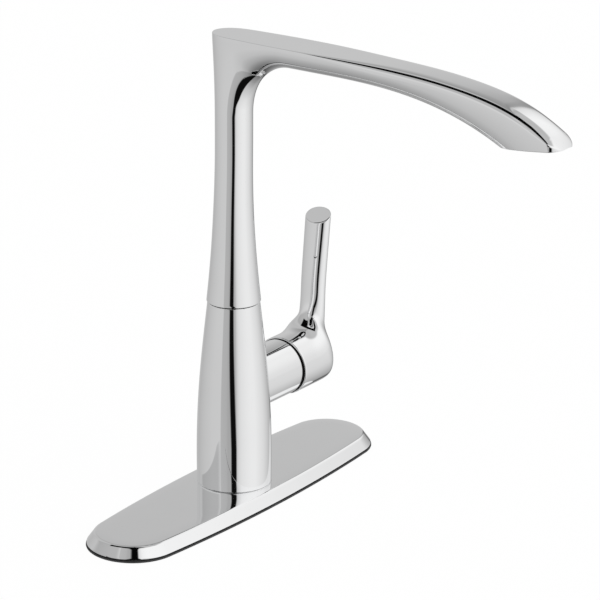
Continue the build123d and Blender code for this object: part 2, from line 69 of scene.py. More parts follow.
def plate_edge():
    """Outline of the plate as points and outward normals. Two round ends, each an arc about a centre on
    X, are joined by two long bowed arcs that touch both ends, so the normal turns once all the way round."""
    reach = plate_length / 2 - plate_end_radius
    side = plate_width / 2
    bow = (reach ** 2 + side ** 2 - plate_end_radius ** 2) / (2 * (side - plate_end_radius))
    lean = np.arctan2(bow - side, reach)
    spans = (-lean, lean, np.pi - lean, np.pi + lean, 2 * np.pi - lean)
    counts = (plate_end_points, plate_side_points) * 2
    turn = np.concatenate([
        np.linspace(start, stop, count, endpoint=False)
        for start, stop, count in zip(spans, spans[1:], counts)])
    centres = np.array([[reach, 0], [0, side - bow], [-reach, 0], [0, bow - side]])
    radii = np.array([plate_end_radius, bow, plate_end_radius, bow])
    normal = np.stack([np.cos(turn), np.sin(turn)], axis=-1)
    return np.repeat(centres, counts, axis=0) + np.repeat(radii, counts)[:, None] * normal, normal


def plate_rows(edge_rows, top, bottom):
    """A closed skin of loops round the plate. Each edge row (inset, height) is the outline moved in along
    its normal; the flat top and bottom run straight from the edge to the round hole at the same bearing."""
    outline, normal = plate_edge()
    edge = outline[None] - edge_rows[:, 0, None, None] * normal[None]
    height = np.broadcast_to(edge_rows[:, 1, None, None], edge.shape[:2] + (1,))
    edge = np.concatenate([edge, height], axis=-1)
    polar = np.arctan2(outline[:, 1], outline[:, 0])
    hole = deck_hole * np.stack([np.cos(polar), np.sin(polar)], axis=-1)
    high, low = (np.concatenate([hole, np.full((len(hole), 1), level)], axis=-1) for level in (top, bottom))
    share = np.linspace(0, 1, hole_rings)[:, None, None]
    top_face = high + share * (edge[0] - high)
    under_face = edge[-1] + share * (low - edge[-1])
    rows = np.concatenate([top_face, edge, under_face, high[None]])
    return np.concatenate([rows, rows[:, :1]], axis=1)


def skin(name, *sheets, crease=32):
    """Joins surface grids, each rows by columns by xyz in millimetres, into one mesh in metres. Every four
    neighbouring grid points make a face, edges that touch are merged, and the normals are turned outwards.
    An edge whose faces meet at more than the crease angle in degrees stays sharp."""
    points = np.concatenate([sheet.reshape(-1, 3) for sheet in sheets]) / mm_per_metre
    counts = [sheet.shape[0] * sheet.shape[1] for sheet in sheets]
    starts = np.cumsum([0] + counts)
    spots = [
        start + np.arange(count).reshape(sheet.shape[:2])
        for start, count, sheet in zip(starts, counts, sheets)]
    quads = [
        np.stack([spot[:-1, :-1], spot[1:, :-1], spot[1:, 1:], spot[:-1, 1:]], axis=-1).reshape(-1, 4)
        for spot in spots]
    mesh = bpy.data.meshes.new(name)
    mesh.from_pydata(points.tolist(), [], np.concatenate(quads).tolist())
    work = bmesh.new()
    work.from_mesh(mesh)
    bmesh.ops.remove_doubles(work, verts=work.verts, dist=weld_distance)
    bmesh.ops.recalc_face_normals(work, faces=work.faces)
    work.to_mesh(mesh)
    work.free()
    mesh.polygons.foreach_set("use_smooth", np.ones(len(mesh.polygons), dtype=bool))
    mesh.set_sharp_from_angle(angle=np.radians(crease))
    piece = bpy.data.objects.new(name, mesh)
    bpy.context.scene.collection.objects.link(piece)
    return piece


def make_surface_life():
    """Node group for the small unevenness every finish has: broad noise mixes a light and a dark tone, and
    fine noise, stretched by the grain, gives the roughness between two limits and the height of a bump."""
    group = bpy.data.node_groups.new("surface_life", "ShaderNodeTree")
    sockets = (
        ("Light tone", "INPUT", "NodeSocketColor"), ("Dark tone", "INPUT", "NodeSocketColor"),
        ("Grain", "INPUT", "NodeSocketVector"), ("Smooth", "INPUT", "NodeSocketFloat"),
        ("Worn", "INPUT", "NodeSocketFloat"), ("Tone", "OUTPUT", "NodeSocketColor"),
        ("Roughness", "OUTPUT", "NodeSocketFloat"), ("Height", "OUTPUT", "NodeSocketFloat"),
    )
    for label, way, kind in sockets:
        group.interface.new_socket(label, in_out=way, socket_type=kind)
    nodes, link = group.nodes, group.links.new
    given, result = nodes.new("NodeGroupInput"), nodes.new("NodeGroupOutput")
    place = nodes.new("ShaderNodeTexCoord")
    stretch = nodes.new("ShaderNodeVectorMath")
    stretch.operation = "MULTIPLY"
    fine, broad = nodes.new("ShaderNodeTexNoise"), nodes.new("ShaderNodeTexNoise")
    fine.inputs["Scale"].default_value = 1
    fine.inputs["Detail"].default_value = grain_detail
    broad.inputs["Scale"].default_value = patch_scale
    broad.inputs["Detail"].default_value = patch_detail
    tone, spread = nodes.new("ShaderNodeMix"), nodes.new("ShaderNodeMapRange")
    tone.data_type = "RGBA"
    spread.inputs["From Min"].default_value = grain_spread[0]
    spread.inputs["From Max"].default_value = grain_spread[1]
    link(place.outputs["Object"], stretch.inputs[0])
    link(given.outputs["Grain"], stretch.inputs[1])
    link(stretch.outputs[0], fine.inputs["Vector"])
    link(place.outputs["Object"], broad.inputs["Vector"])
    link(broad.outputs[0], tone.inputs["Factor"])
    link(given.outputs["Light tone"], tone.inputs["A"])
    link(given.outputs["Dark tone"], tone.inputs["B"])
    link(fine.outputs[0], spread.inputs["Value"])
    link(given.outputs["Smooth"], spread.inputs["To Min"])
    link(given.outputs["Worn"], spread.inputs["To Max"])
    link(tone.outputs["Result"], result.inputs["Tone"])
    link(spread.outputs["Result"], result.inputs["Roughness"])
    link(fine.outputs[0], result.inputs["Height"])
    return group


surface_life = make_surface_life()


def finish(name, light, dark, grain, smooth, worn, metal=0.0, bump=0.0):
    """A material with the shared unevenness: two tones, a grain in cycles per metre along X, Y and Z,
    the least and most roughness, how metallic it is, and how strongly the grain dents the surface."""
    material = bpy.data.materials.new(name)
    material.use_nodes = True
    nodes, link = material.node_tree.nodes, material.node_tree.links.new
    shader, life = nodes["Principled BSDF"], nodes.new("ShaderNodeGroup")
    life.node_tree = surface_life
    life.inputs["Light tone"].default_value = light
    life.inputs["Dark tone"].default_value = dark
    life.inputs["Grain"].default_value = grain
    life.inputs["Smooth"].default_value = smooth
    life.inputs["Worn"].default_value = worn
    shader.inputs["Metallic"].default_value = metal
    link(life.outputs["Tone"], shader.inputs["Base Color"])
    link(life.outputs["Roughness"], shader.inputs["Roughness"])
    if bump:
        dent = nodes.new("ShaderNodeBump")
        dent.inputs["Strength"].default_value = bump
        dent.inputs["Distance"].default_value = dent_depth
        link(life.outputs["Height"], dent.inputs["Height"])
        link(dent.outputs["Normal"], shader.inputs["Normal"])
    return material


bead_turn = np.radians(np.linspace(bead_sweep, -bead_sweep, 11))
bead = np.stack([
    bead_radius * (1 - np.cos(bead_turn)) - gasket_proud, bead_radius * (1 + np.sin(bead_turn))], axis=-1)
gasket_groove = [
    [groove_inset + groove_shoulder, gasket_top], [groove_inset, gasket_top - shoulder_drop],
    [groove_inset, 2 * bead_radius]]
gasket_edge = np.concatenate([gasket_groove, bead, [[gasket_foot_inset, 0.0]]])
gasket = skin("rubber_deck_gasket", plate_rows(gasket_edge, gasket_top, 0.0))
gasket_rubber = finish(
    "gasket_rubber", gasket_light, gasket_dark, grain=(900, 900, 900), smooth=0.45, worn=0.7, bump=0.2)
gasket.data.materials.append(gasket_rubber)
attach(gasket, "base")
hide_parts("deck_gasket")


# Backing plate: a ribbed plastic moulding that fills the hollow deck plate and keeps it from
# buckling. It is injection moulded in dark grey and dropped in loose from below.
def dress(material, *names):
    """Gives carried-over CAD nodes their material in every slot."""
    for name in names:
        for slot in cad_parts[name].material_slots:
            slot.material = material


backing_plastic = finish(
    "backing_plastic", (0.17, 0.17, 0.18, 1), (0.13, 0.13, 0.14, 1),
    grain=(1400, 1400, 1400), smooth=0.45, worn=0.65, bump=0.25)
dress(backing_plastic, "plate_backing")


# Deck plate: pressed brass sheet with round ends, bowed sides and a bevelled edge, polished and
# chromed. It covers the outer holes of the sink and is held down by the body standing on it.
plate_top = 8.8
plate_bevel = 4.8
plate_edge_round = 2.6
plate_wall = 1.8
plate_flat_inset = 8.0
plate_lip = 0.12
plate_lip_rise = 0.25
inner_wall_lean = 3.5
chrome_light = (0.955, 0.957, 0.960, 1)
chrome_dark = (0.925, 0.928, 0.932, 1)

plate_rise = plate_top - gasket_top
bevel_turn = np.arctan2(plate_rise, plate_bevel)
round_reach = plate_edge_round * np.tan(bevel_turn / 2)
round_turn = np.linspace(0, bevel_turn, 9)
top_round = np.stack([
    plate_bevel + round_reach - plate_edge_round * np.sin(round_turn),
    plate_top - plate_edge_round * (1 - np.cos(round_turn)),
], axis=-1)
bevel_share = np.linspace(0, 1, 10)[1:, None]
bevel_foot = np.array([plate_lip, gasket_top + plate_lip_rise])
bevel = top_round[-1] + bevel_share * (bevel_foot - top_round[-1])
plate_rim = np.array([
    [0.0, gasket_top + plate_lip], [plate_lip, gasket_top], [plate_wall, gasket_top],
    [plate_wall + inner_wall_lean, plate_top - plate_wall]])
plate_profile = np.concatenate([[[plate_bevel + plate_flat_inset, plate_top]], top_round, bevel, plate_rim])
plate = skin("chrome_deck_plate", plate_rows(plate_profile, plate_top, plate_top - plate_wall))
chrome = finish(
    "polished_chrome", chrome_light, chrome_dark, grain=(220, 220, 220), smooth=0.012, worn=0.045, metal=1.0)
plate.data.materials.append(chrome)
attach(plate, "base")
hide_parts("deck_plate")


# Base seal: a black rubber ring in a groove under the body, which keeps water from creeping
# below the deck plate.
seal_rubber = finish(
    "seal_rubber", (0.045, 0.045, 0.046, 1), (0.025, 0.025, 0.025, 1),
    grain=(1200, 1200, 1200), smooth=0.35, worn=0.55, bump=0.1)
dress(seal_rubber, "base_seal")


# Body: a brass casting turned to a soft taper, with a short round boss on its right for the
# cartridge. It is polished, chromed and screwed down on the shank through the plate.
body_heights = np.array([8.8, 30.0, 56.5, 109.1, 127.7])
body_radii = np.array([23.4, 23.5, 22.8, 18.4, 16.3])
body_foot_round = 0.8
body_head_round = 0.4
body_bore = 15.2
body_rings = 150
boss_axis = 70.0
boss_radius = 18.0
boss_bore = 15.0
boss_end = 48.0
boss_root = 11.0
boss_edge = 0.5
boss_rings = 30
bore_chamfer = 0.3
end_margin, bore_margin = 0.2, 0.4

around = np.linspace(0, 2 * np.pi, 257)


def turned_about_z(profile):
    """A surface of revolution about Z: each profile point (radius, height) becomes a ring."""
    ring = np.stack([np.cos(around), np.sin(around), np.zeros_like(around)], axis=-1)
    return profile[:, 0, None, None] * ring + profile[:, 1, None, None] * np.array([0, 0, 1])


def turned_about_boss(profile):
    """A surface of revolution about the boss's axis: each point (reach along X, radius) becomes a ring."""
    ring = np.stack([np.zeros_like(around), np.cos(around), np.sin(around)], axis=-1)
    along = profile[:, 0, None, None] * np.array([1, 0, 0])
    return along + profile[:, 1, None, None] * ring + [0, 0, boss_axis]


def paint_shade_black(piece, inside):
    """Gives the faces whose middles pass a test on their xyz in millimetres a dull black that is painted
    shade, standing in for the deep shade inside a gap or a socket.
    """
    piece.data.materials.append(painted_shade_black)
    middles = np.empty(3 * len(piece.data.polygons))
    piece.data.polygons.foreach_get("center", middles)
    chosen = inside(middles.reshape(-1, 3) * mm_per_metre)
    piece.data.polygons.foreach_set("material_index", chosen.astype(np.int32))


def boss_mouth(place):
    """True on the boss's end face and in its bore."""
    radius = np.hypot(place[:, 1], place[:, 2] - boss_axis)
    end_face = (place[:, 0] > boss_end - end_margin) & (radius < boss_radius - boss_edge)
    return end_face | ((place[:, 0] > body_radii.max()) & (radius < boss_bore + bore_margin))


taper = np.poly1d(np.polyfit(body_heights, body_radii, len(body_heights) - 1))
climb = np.linspace(body_heights[0] + body_foot_round, body_heights[-1] - body_head_round, body_rings)
quarter = np.radians(np.linspace(0, 90, 7))
foot = np.stack([
    taper(climb[0]) - body_foot_round * (1 - np.sin(quarter)),
    climb[0] - body_foot_round * np.cos(quarter),
], axis=-1)
head = np.stack([
    taper(climb[-1]) - body_head_round * (1 - np.cos(quarter)),
    climb[-1] + body_head_round * np.sin(quarter),
], axis=-1)
body_profile = np.concatenate([
    [[body_bore, body_heights[0]]], foot, np.stack([taper(climb), climb], axis=-1), head,
    [[body_bore, body_heights[-1]], [body_bore, body_heights[0]]],
])
boss_reach = np.linspace(boss_root + 1, boss_end - boss_edge, boss_rings)
boss_side = np.stack([boss_reach, np.full_like(boss_reach, boss_radius)], axis=-1)
boss_corner = np.stack([
    boss_end - boss_edge * (1 - np.sin(quarter)), boss_radius - boss_edge * (1 - np.cos(quarter))], axis=-1)
boss_profile = np.concatenate([
    [[boss_root, boss_bore], [boss_root, boss_radius]], boss_side, boss_corner,
    [[boss_end, boss_bore + bore_chamfer], [boss_end - bore_chamfer, boss_bore], [boss_root, boss_bore]],
])
body = skin("chrome_body", turned_about_z(body_profile), turned_about_boss(boss_profile))
body.data.materials.append(chrome)
# Painted shade: a dull black laid on faces deep in a gap or a socket, standing in for the shade that falls
# there.
painted_shade_black = finish(
    "painted_shade_black", (0.020, 0.020, 0.021, 1), (0.012, 0.012, 0.012, 1),
    grain=(900, 900, 900), smooth=0.55, worn=0.75, bump=0.1)
# The boss's end face and bore are painted black: painted shade of the gap behind the hub.
paint_shade_black(body, boss_mouth)
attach(body, "base")
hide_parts("body_shell")


# Waterway core and shank: turned brass inside the body and below the deck. The core carries the
# valve seat and the spout's spigot; the shank is threaded into the body and hollow for the supplies.
core_brass = finish(
    "turned_brass", (0.74, 0.58, 0.28, 1), (0.64, 0.48, 0.21, 1),
    grain=(60, 60, 2600), smooth=0.22, worn=0.42, metal=1.0, bump=0.12)
dress(core_brass, "waterway_core", "mounting_shank")


# Clamp below the deck: a thick rubber washer, a zinc plated steel washer and a hexagonal brass
# nut that is run up the shank with a basin spanner.
washer_rubber = finish(
    "washer_rubber", (0.055, 0.055, 0.056, 1), (0.030, 0.030, 0.031, 1),
    grain=(700, 700, 700), smooth=0.55, worn=0.8, bump=0.35)
washer_steel = finish(
    "zinc_plated_steel", (0.58, 0.58, 0.60, 1), (0.48, 0.48, 0.51, 1),
    grain=(320, 320, 320), smooth=0.28, worn=0.5, metal=1.0, bump=0.06)
nut_brass = finish(
    "rough_brass", (0.72, 0.56, 0.27, 1), (0.58, 0.43, 0.19, 1),
    grain=(500, 500, 1500), smooth=0.3, worn=0.52, metal=1.0, bump=0.15)
dress(washer_rubber, "rubber_washer")
dress(washer_steel, "steel_washer")
dress(nut_brass, "mounting_nut")


# Spout bearings: two slippery black plastic bushes and two rubber rings on the spigot. The lower
# bush has a thin flange that shows as the dark seam between the body and the spout.
bush_plastic = finish(
    "black_acetal", (0.022, 0.022, 0.023, 1), (0.012, 0.012, 0.012, 1),
    grain=(500, 500, 500), smooth=0.25, worn=0.4, bump=0.05)
dress(bush_plastic, "swivel_bush_lower", "swivel_bush_upper")
dress(seal_rubber, "spout_o_rings")


# Spout: a hollow brass casting, chromed. A slim round neck flares to a collar at its foot, turns
# a square corner at the top and runs out as an arm with a flat top and a deep rounded belly.
spout_foot = 128.3
spout_top = 297.4
spout_reach = 234.4
neck_radius = 11.6
neck_lean = 0.6
neck_rings = 100
collar_flare = 5.3
collar_height = 95.0
collar_round = 0.4
socket_radius = 11.0
socket_depth = 40.0
socket_chamfer = 0.3
bend_reach = 45.0
bend_height = 248.1
inner_power, outer_power = 2.0, 12.0
outer_flare = 2.4
steepest_flare = 1.5
back_rows, bend_rows, arm_rows = 90, 110, 240
nose_crowding = 1.6
arm_start = 60.0
arm_half_width = 14.1
arm_narrowing = 1.7
arm_narrow_run = (50.0, 157.0)
arm_fall = 13.0
belly_start = 66.1
belly_span = 119.7
belly_depth = 14.6
belly_fall = 20.2
belly_power = 2.81
top_fall, top_power = 25.7, 3.71
nose_fall, nose_power = 5.5, 10.6
tip_start = 150.0
tip_corner = 10.5
tip_half_width = arm_half_width - arm_narrowing
arm_crown, arm_crown_run = 0.2, (85, 150)
nose_crown, nose_crown_run = 1.6, (150, 215)
crease_least = 0.5
crease_growth, crease_run, crease_share = 5.5, (35, 145), 0.7
side_growth, side_run, side_share = 4.7, (45, 125), 0.35
lip_width, lip_share, lip_side_share = 0.6, 0.3, 0.2
outlet_reach = 212.0
outlet_height = 263.2
outlet_slope = np.radians(8.2)
outlet_bore, outlet_depth = 8.1, 8.3
outlet_passage, passage_depth = 5.8, 11.0
outlet_chamfer = 0.3
no_limit = 1e3
hair = 1e-6


def ease(value, start, end):
    """A smooth step from 0 at start to 1 at end, with no slope or bend at either."""
    share = np.clip((value - start) / (end - start), 0, 1)
    return share ** 3 * (10 - 15 * share + 6 * share ** 2)


def corner_distance(angle, across, up, power):
    """Distance from a bend's centre to a squared-off quarter oval, at an angle from its level side."""
    return ((np.cos(angle) / across) ** power + (np.sin(angle) / up) ** power) ** (-1 / power)


def corner_curve(start, corner, end, share):
    """A rounded corner: the quadratic curve from start to end that heads for the corner at both."""
    return (1 - share) ** 2 * start + 2 * share * (1 - share) * corner + share ** 2 * end


def arm_share(reach):
    """How far along the arm a reach lies: 0 up to the arm's start, 1 at the nose."""
    return np.maximum(0, (reach - arm_start) / (spout_reach - arm_start))


def top_line(reach):
    """Height of the arm's flat top along its reach: level at first, then falling ever faster to the nose."""
    share = arm_share(reach)
    return spout_top - top_fall * share ** top_power - nose_fall * share ** nose_power


def outlet_line(reach):
    """Height of the slanted outlet face along the reach."""
    return outlet_height + np.tan(outlet_slope) * (reach - outlet_reach)


def collar_radius(rise):
    """Radius of the neck at a height above its foot: slim, with a flare that swells towards the foot."""
    return neck_radius + collar_flare * np.maximum(0, 1 - rise / collar_height) ** 2


def upright_sections(radius, height):
    """Level rings of the neck. As in the next two functions, a section is given by its middle and its half
    depth, both as (reach, height), its half width, and the heights of the top and the outlet that cut it."""
    zero = np.zeros_like(radius)
    ahead = neck_lean * ease(height, spout_foot + socket_depth, bend_height)
    middle, depth = np.stack([ahead, height], -1), np.stack([-radius, zero], -1)
    return middle, depth, radius, zero + no_limit, zero - no_limit


def bend_sections(angle):
    """Sections of the bend, fanned about its centre between a tight inner and a square outer corner."""
    neck_reach, arm_rise = bend_reach - neck_lean, spout_top - bend_height
    back = neck_reach + neck_radius
    flare = outer_flare * np.minimum(1, back * np.tan(np.minimum(angle, steepest_flare)) / arm_rise) ** 2
    near = corner_distance(angle, neck_reach - neck_radius, arm_rise - belly_depth, inner_power)
    far = corner_distance(angle, back + flare, arm_rise + belly_depth, outer_power)
    way = np.stack([-np.cos(angle), np.sin(angle)], -1)
    middle = np.array([bend_reach, bend_height]) + way * ((near + far) / 2)[:, None]
    depth = way * ((far - near) / 2)[:, None]
    width = neck_radius + (arm_half_width - neck_radius) * np.sin(angle) ** 2
    return middle, depth, width, np.full_like(angle, spout_top), np.full_like(angle, -no_limit)


def arm_sections(reach):
    """Upright sections of the arm: the middle line droops by a square law, the belly falls away below it
    by a power of the reach until the outlet cuts it, and the width eases to the tip's."""
    middle = spout_top - arm_fall * arm_share(reach) ** 2
    belly_share = np.maximum(0, (reach - belly_start) / belly_span)
    belly = spout_top - belly_depth - belly_fall * belly_share ** belly_power
    width = arm_half_width - arm_narrowing * ease(reach, *arm_narrow_run)
    floor_line = np.where(reach > tip_start, outlet_line(reach), -no_limit)
    depth = np.stack([np.zeros_like(reach), middle - belly], -1)
    return np.stack([reach, middle], -1), depth, width, top_line(reach), floor_line


def spout_half(middle, depth, width, ceiling, floor_line):
    """Half of every section, from the middle of the flat top over a rounded crease and round the oval side
    to the underside. The oval is middle + depth * sin(t) and width * cos(t); the top and the outlet cut it
    at the angles where it meets their heights, each cut corner is a short quadratic curve, and the top
    strip is crowned towards the nose by a parabola across it."""
    along, level = middle[:, 0], depth[:, 1] == 0
    rise = np.where(level, 1, depth[:, 1])
    first = np.arcsin(np.clip(np.where(level, 1, (ceiling - middle[:, 1]) / rise), -1, 1))
    last = np.arcsin(np.clip(np.where(level, -1, (floor_line - middle[:, 1]) / rise), -1, 1))
    last = np.minimum(last, first)
    nose = np.clip(along - (spout_reach - tip_corner), 0, tip_corner)
    nose_width = tip_half_width - tip_corner + np.sqrt(tip_corner ** 2 - nose ** 2)
    limit = np.where(along > tip_start, nose_width, no_limit)

    def oval(t):
        across = np.minimum(width[:, None] * np.cos(t), limit[:, None])
        path = middle[:, None] + depth[:, None] * np.sin(t)[..., None]
        return np.concatenate([across[..., None], -path[..., :1], path[..., 1:]], axis=-1)

    def speed(t):
        half_depth = np.hypot(depth[:, 0], depth[:, 1])
        return np.maximum(np.hypot(width * np.sin(t), half_depth * np.cos(t)), 1e-3)

    edge, sill = oval(first[:, None])[:, 0], oval(last[:, None])[:, 0]
    room = np.linalg.norm(edge - sill, axis=-1)
    creased, lipped = first < np.pi / 2 - hair, last > -np.pi / 2 + hair
    crease = crease_least + crease_growth * ease(along, *crease_run)
    crease = np.minimum(np.minimum(crease, crease_share * edge[:, 0]), room) * creased
    crease_side = np.minimum(crease_least + side_growth * ease(along, *side_run), side_share * room) * creased
    lip = np.minimum(np.minimum(lip_width, lip_share * sill[:, 0]), lip_side_share * room) * lipped
    side_start, side_end = first - crease_side / speed(first), last + lip / speed(last)
    side = oval(side_start[:, None] + (side_end - side_start)[:, None] * np.linspace(0, 1, 60))
    crown = arm_crown * ease(along, *arm_crown_run) + (nose_crown - arm_crown) * ease(along, *nose_crown_run)
    across = np.linspace(0, 1, 13)[None] * (edge[:, :1] - crease[:, None])
    lift = crown[:, None] * (edge[:, :1] ** 2 - across ** 2) / tip_half_width ** 2
    flat = np.stack([across, edge[:, 1:2] + 0 * across, edge[:, 2:] + lift], axis=-1)
    lip_end = sill - lip[:, None] * np.array([1, 0, 0])
    share = np.linspace(0, 1, 11)[None, :, None]
    crease_curve = corner_curve(flat[:, -1:], edge[:, None], side[:, :1], share)
    lip_curve = corner_curve(side[:, -1:], sill[:, None], lip_end[:, None], share)
    return np.concatenate([flat, crease_curve[:, 1:-1], side, lip_curve[:, 1:]], axis=1)


fine_angle = np.linspace(0, np.pi / 2, 4001)
fan_middle, fan_depth = bend_sections(fine_angle)[:2]
climbing = slice(3000)
rear_angle = np.interp(spout_top, (fan_middle + fan_depth)[climbing, 1], fine_angle[climbing])
fine_reach = np.linspace(200, spout_reach, 4001)
nose_reach = np.interp(0, outlet_line(fine_reach) - top_line(fine_reach), fine_reach)

collar_turn = np.radians(np.linspace(0, 90, 6))
neck_climb = np.linspace(collar_round, bend_height - spout_foot, neck_rings)
ring_radius = np.concatenate([
    [0.0, socket_radius, socket_radius, socket_radius + socket_chamfer],
    collar_radius(collar_round) - collar_round * (1 - np.sin(collar_turn)), collar_radius(neck_climb[1:])])
ring_height = spout_foot + np.concatenate([
    [socket_depth, socket_depth, socket_chamfer, 0.0],
    collar_round * (1 - np.cos(collar_turn)), neck_climb[1:]])
turns = np.concatenate([
    np.linspace(0, rear_angle, back_rows)[1:],
    rear_angle + (np.pi / 2 - rear_angle) * np.linspace(0, 1, bend_rows)[1:] ** 2])
arm_steps = 1 - (1 - np.linspace(0, 1, arm_rows)[1:]) ** nose_crowding
reaches = bend_reach + (nose_reach - bend_reach) * arm_steps
parts = [upright_sections(ring_radius, ring_height), bend_sections(turns), arm_sections(reaches)]
middle, depth, width, ceiling, floor_line = [np.concatenate(part) for part in zip(*parts)]
spout_side = spout_half(middle, depth, width, ceiling, floor_line)
mirror = np.array([-1, 1, 1])
sill_start = np.flatnonzero(floor_line > (middle - depth)[:, 1])[0] - 1
sill = spout_side[sill_start:, -1]
sill_loop = np.concatenate([
    sill, spout_side[-1, ::-1][1:], spout_side[-1][1:] * mirror, sill[::-1] * mirror])
outlet_along = np.array([0, -np.cos(outlet_slope), np.sin(outlet_slope)])
outlet_up = np.array([0, np.sin(outlet_slope), np.cos(outlet_slope)])
outlet_middle = np.array([0, -outlet_reach, outlet_height])
bearing = np.arctan2(sill_loop[:, 0], (sill_loop - outlet_middle) @ outlet_along)
spoke = np.sin(bearing)[:, None] * np.array([1, 0, 0]) + np.cos(bearing)[:, None] * outlet_along
bore_rows = np.array([
    [outlet_bore + outlet_chamfer, 0], [outlet_bore, outlet_chamfer], [outlet_bore, outlet_depth],
    [outlet_passage, outlet_depth], [outlet_passage, passage_depth], [0, passage_depth]])
bore_sheet = outlet_middle + bore_rows[:, 0, None, None] * spoke + bore_rows[:, 1, None, None] * outlet_up
outlet_sheet = np.concatenate([sill_loop[None], bore_sheet])
spout = skin("chrome_spout", spout_side, spout_side * mirror, outlet_sheet, crease=38)
spout.data.materials.append(chrome)
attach(spout, "spout")
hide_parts("spout")


# Set screw: a small stainless grub screw with a hexagon socket, at the back of the collar, which
# runs in a groove of the spigot and keeps the spout from being lifted off.
screw_radius = 2.0
screw_rise = 12.0
socket_across = 1.0
socket_floor_share = 0.85


def screw_end():
    """Face of the screw laid on the collar: rings about its axis, from the rim to the hexagon and down to
    its floor. Each row says how six-sided the ring is, its size, and how far it stands out of the collar."""
    turn = np.linspace(0, 2 * np.pi, 73)
    six_sided = socket_across / np.cos((turn + np.pi / 6) % (np.pi / 3) - np.pi / 6)
    rows = (
        (0.0, 1.0, -0.6), (0.0, 1.0, 0.10), (0.08, 0.94, 0.16), (0.35, 0.75, 0.18),
        (1.0, 1.0, 0.16), (1.0, 0.98, 0.02), (1.0, 0.0, 0.02))
    six, size, proud = np.array(rows).T[..., None]
    radius = size * ((1 - six) * screw_radius + six * six_sided)
    across, level = radius * np.sin(turn), screw_rise + radius * np.cos(turn)
    back = np.sqrt(collar_radius(level) ** 2 - across ** 2) + proud
    return np.stack([across, back, spout_foot + level], axis=-1)


def socket_floor(place):
    """True inside the hexagon, below its edge."""
    radius = np.hypot(place[:, 0], place[:, 2] - spout_foot - screw_rise)
    return radius < socket_floor_share * socket_across


screw_steel = finish(
    "stainless_steel", (0.56, 0.56, 0.58, 1), (0.46, 0.46, 0.48, 1),
    grain=(1500, 1500, 1500), smooth=0.2, worn=0.38, metal=1.0, bump=0.06)
set_screw = skin("collar_set_screw", screw_end(), crease=30)
set_screw.data.materials.append(screw_steel)
# The socket's floor is painted black: painted shade that makes the shallow socket read as deep.
paint_shade_black(set_screw, socket_floor)
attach(set_screw, "spout")
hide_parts("spout_set_screw")


# Aerator: a light grey plastic cartridge with a pierced face, screwed up into the outlet against
# a flat rubber washer.
aerator_plastic = finish(
    "aerator_plastic", (0.80, 0.81, 0.82, 1), (0.70, 0.71, 0.73, 1),
    grain=(900, 900, 900), smooth=0.25, worn=0.4, bump=0.08)
dress(aerator_plastic, "aerator_housing", "aerator_insert")
dress(seal_rubber, "aerator_washer")


# Cartridge: two lapped ceramic discs in a moulded plastic housing, pressed on to a rubber seal in
# the boss. The upper disc slides under a carrier that the stem pushes about.
cartridge_plastic = finish(
    "cartridge_plastic", (0.86, 0.86, 0.84, 1), (0.78, 0.78, 0.75, 1),
    grain=(900, 900, 900), smooth=0.3, worn=0.45, bump=0.08)
carrier_plastic = finish(
    "carrier_plastic", (0.34, 0.36, 0.39, 1), (0.26, 0.28, 0.31, 1),
    grain=(900, 900, 900), smooth=0.3, worn=0.45, bump=0.08)
ceramic = finish(
    "lapped_ceramic", (0.93, 0.93, 0.91, 1), (0.86, 0.86, 0.84, 1),
    grain=(1800, 1800, 1800), smooth=0.1, worn=0.18)
stem_brass = finish(
    "stem_brass", (0.74, 0.58, 0.28, 1), (0.62, 0.46, 0.20, 1),
    grain=(2600, 60, 60), smooth=0.2, worn=0.4, metal=1.0, bump=0.1)
dress(seal_rubber, "cartridge_seal")
dress(cartridge_plastic, "cartridge_base", "cartridge_housing")
dress(carrier_plastic, "stem_guide", "disc_carrier")
dress(ceramic, "fixed_disc", "moving_disc")
dress(stem_brass, "stem")
dress(screw_steel, "stem_pin")


# Bonnet nut: a notched, nickel plated brass ring screwed into the mouth of the boss. It holds the
# cartridge down, and a glint of it shows in the gap behind the handle.
bonnet_nickel = finish(
    "bonnet_nickel", (0.60, 0.585, 0.56, 1), (0.50, 0.485, 0.46, 1),
    grain=(2200, 120, 120), smooth=0.2, worn=0.36, metal=1.0, bump=0.08)
dress(bonnet_nickel, "bonnet_nut")


# Handle: one zinc casting, chromed, with a round hub the size of the boss that turns up through a
# tight elbow into a slim oval lever. The lever ends in a flat face slanted towards the body.
hub_radius = 19.0
hub_rim = 50.3
hub_slant = np.tan(np.radians(4.0))
hub_bore = 15.3
hub_cavity = 57.1
hub_chamfer = 1.2
hub_round = 0.7
hub_rings = 12
rim_margin, rim_edge_margin, cavity_margin = 0.1, 0.5, 0.2
elbow_reach = 60.5
elbow_rise = 43.5
elbow_inner_power = 2.4
elbow_outer_power = 13.4
elbow_narrowing = (18.5, 51.0)
elbow_rows = 150
waist_depth, waist_width = 5.85, 8.7
tip_depth, tip_width = 5.25, 9.2
tip_height = 170.7
lever_reach = 83.45
lever_lean = np.tan(np.radians(6.55))
lever_rings = 90
lean_softness = 5.0
facet_height = 160.7
facet_tilt = np.radians(34.0)
facet_round = 0.7
facet_below, facet_above = 12.0, 10.0


def hub_rows(rows):
    """Rings about the boss's axis: each row is (set back from the slanted rim, radius)."""
    level = -rows[:, 1, None] * np.sin(around)
    across = rows[:, 1, None] * np.cos(around)
    return np.stack([hub_rim - hub_slant * level + rows[:, 0, None], across, boss_axis + level], axis=-1)


def lean_over(points):
    """Leans the lever away from the body: the offset grows straight above the elbow and fades below it."""
    above = (points[..., 2] - boss_axis - elbow_rise) / lean_softness
    return points + (lever_lean * lean_softness * np.logaddexp(0, above))[..., None] * np.array([1, 0, 0])


